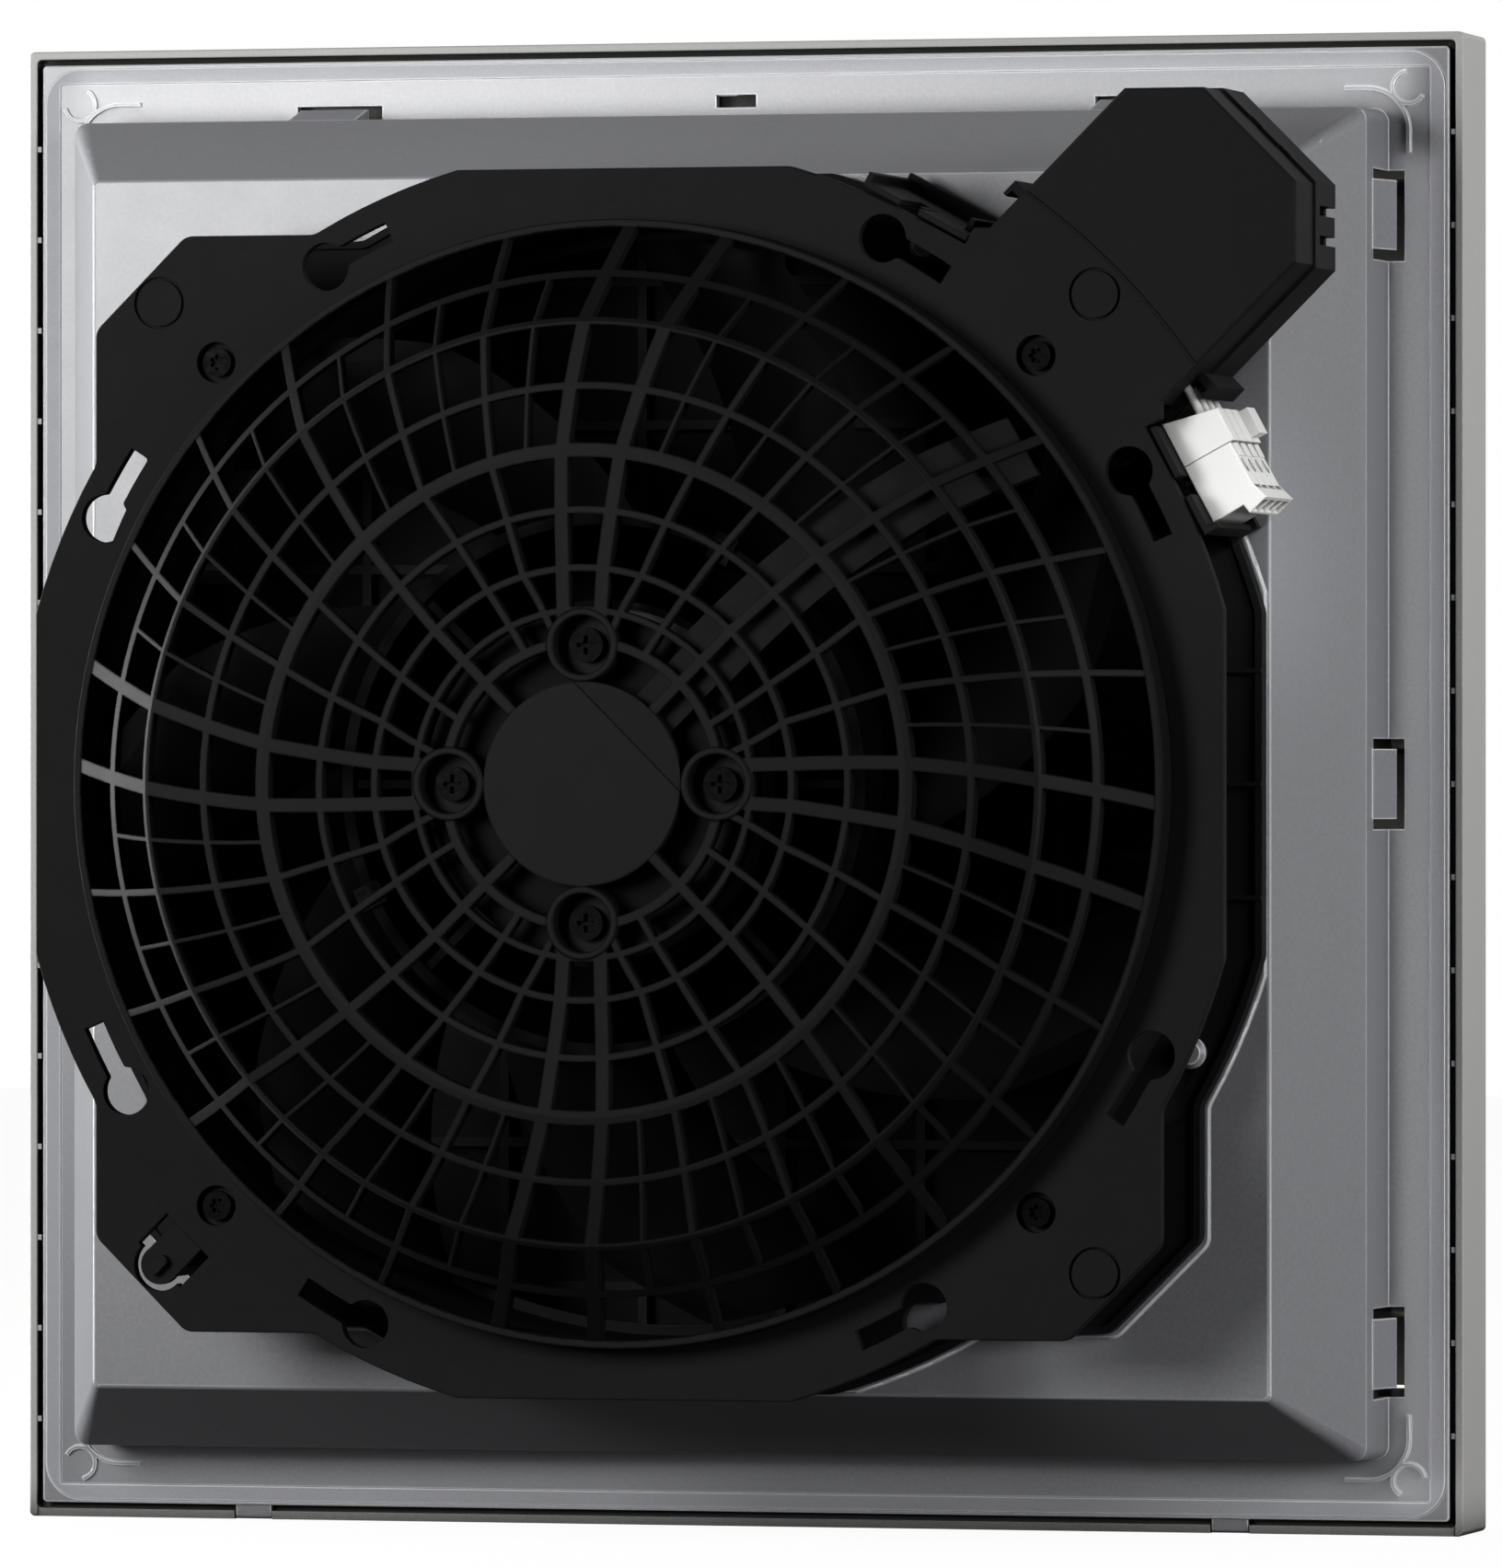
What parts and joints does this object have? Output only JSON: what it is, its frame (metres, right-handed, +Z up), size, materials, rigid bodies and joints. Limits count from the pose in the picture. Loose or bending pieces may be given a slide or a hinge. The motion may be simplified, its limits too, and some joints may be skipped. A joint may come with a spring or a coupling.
{
  "type": "enclosure filter fan",
  "caption": "Snap-in filter fan for an enclosure wall: louvred grille and tray outside, black fan module with a domed guard, terminal box and plug-in mains connector inside.",
  "frame": {"origin": "centre of the square panel cut-out, in the plane of the panel's outer face", "axes": "+Z up the wall, +X to the right seen from inside the enclosure, +Y out of the enclosure through the grille"},
  "size_m": [0.323, 0.1484, 0.323],
  "materials": {
    "housing_plastic": "fine satin, moulded",
    "grille_plastic": "fine matt, moulded",
    "seal_foam": "foamed, soft",
    "filter_fleece": "fibre fleece",
    "grid_plastic": "fine matt, moulded",
    "shell_plastic": "fine spark texture",
    "guard_plastic": "satin, moulded",
    "impeller_plastic": "satin, moulded",
    "black_screws": "black oxide",
    "connector_plastic": "satin, moulded",
    "lead_sheath": "smooth sheath",
    "motor_sheath": "smooth sheath",
    "bare_steel": "turned",
    "laminations": "stacked sheet",
    "coated_casting": "die cast, black coat",
    "winding_copper": "enamelled wire",
    "magnet_ferrite": "sintered",
    "capacitor_can": "drawn can"
  },
  "bodies": {
    "housing": {"housing_tray": "housing_plastic", "panel_seal": "seal_foam", "mat_support_grid": "grid_plastic", "filter_mat": "filter_fleece", "hinge_pins": "bare_steel"},
    "grille": {"louvre_grille": "grille_plastic"},
    "module": {"front_shell": "shell_plastic", "rear_shell": "shell_plastic", "shell_screws": "black_screws", "terminal_box_cover": "shell_plastic", "terminal_box_base": "shell_plastic", "run_capacitor": "capacitor_can", "rear_guard": "guard_plastic", "hub_screws": "black_screws", "cable_channel": "shell_plastic", "motor_lead": "motor_sheath", "motor_flange": "coated_casting", "rear_bearing": "bare_steel", "front_bearing": "bare_steel", "stator_core": "laminations", "stator_windings": "winding_copper", "terminal_holder": "shell_plastic", "spare_holder": "shell_plastic", "connector_header": "connector_plastic", "connector_plug": "connector_plastic", "terminal_leads": "lead_sheath", "lead_clip": "shell_plastic"},
    "rotor": {"rotor_cup": "bare_steel", "magnet_ring": "magnet_ferrite", "rotor_shaft": "bare_steel", "shaft_ring": "bare_steel", "impeller": "impeller_plastic", "balance_clips": "black_screws"},
    "tongue": {"lock_tongue": "shell_plastic"},
    "button_1": {"release_button_1": "connector_plastic"},
    "button_2": {"release_button_2": "connector_plastic"},
    "button_3": {"release_button_3": "connector_plastic"},
    "button_4": {"release_button_4": "connector_plastic"}
  },
  "joints": [
    {"name": "grille_open", "type": "hinge", "parent": "housing", "child": "grille", "pos_m": [0, 0.0016, -0.1606], "axis": [-1, 0, 0], "range_deg": [0, 70]},
    {"name": "module_turn", "type": "hinge", "parent": "housing", "child": "module", "pos_m": [0, 0, 0], "axis": [0, -1, 0], "range_deg": [0, 5.8]},
    {"name": "rotor_spin", "type": "hinge", "parent": "module", "child": "rotor", "pos_m": [0, 0, 0], "axis": [0, -1, 0], "continuous": true},
    {"name": "lock_tongue_bend", "type": "hinge", "parent": "module", "child": "tongue", "pos_m": [-0.09604, -0.0908, -0.09604], "axis": [-0.7071, 0, 0.7071], "range_deg": [0, 4], "stiffness_Nm_per_rad": 0.2},
    {"name": "button_1_press", "type": "slide", "parent": "module", "child": "button_1", "axis": [-0.8813, 0, -0.4726], "range_m": [0, 0.0015], "stiffness_N_per_m": 300},
    {"name": "button_2_press", "type": "slide", "parent": "module", "child": "button_2", "axis": [-0.8813, 0, -0.4726], "range_m": [0, 0.0015], "stiffness_N_per_m": 300},
    {"name": "button_3_press", "type": "slide", "parent": "module", "child": "button_3", "axis": [-0.8813, 0, -0.4726], "range_m": [0, 0.0015], "stiffness_N_per_m": 300},
    {"name": "button_4_press", "type": "slide", "parent": "module", "child": "button_4", "axis": [-0.8813, 0, -0.4726], "range_m": [0, 0.0015], "stiffness_N_per_m": 300}
  ]
}
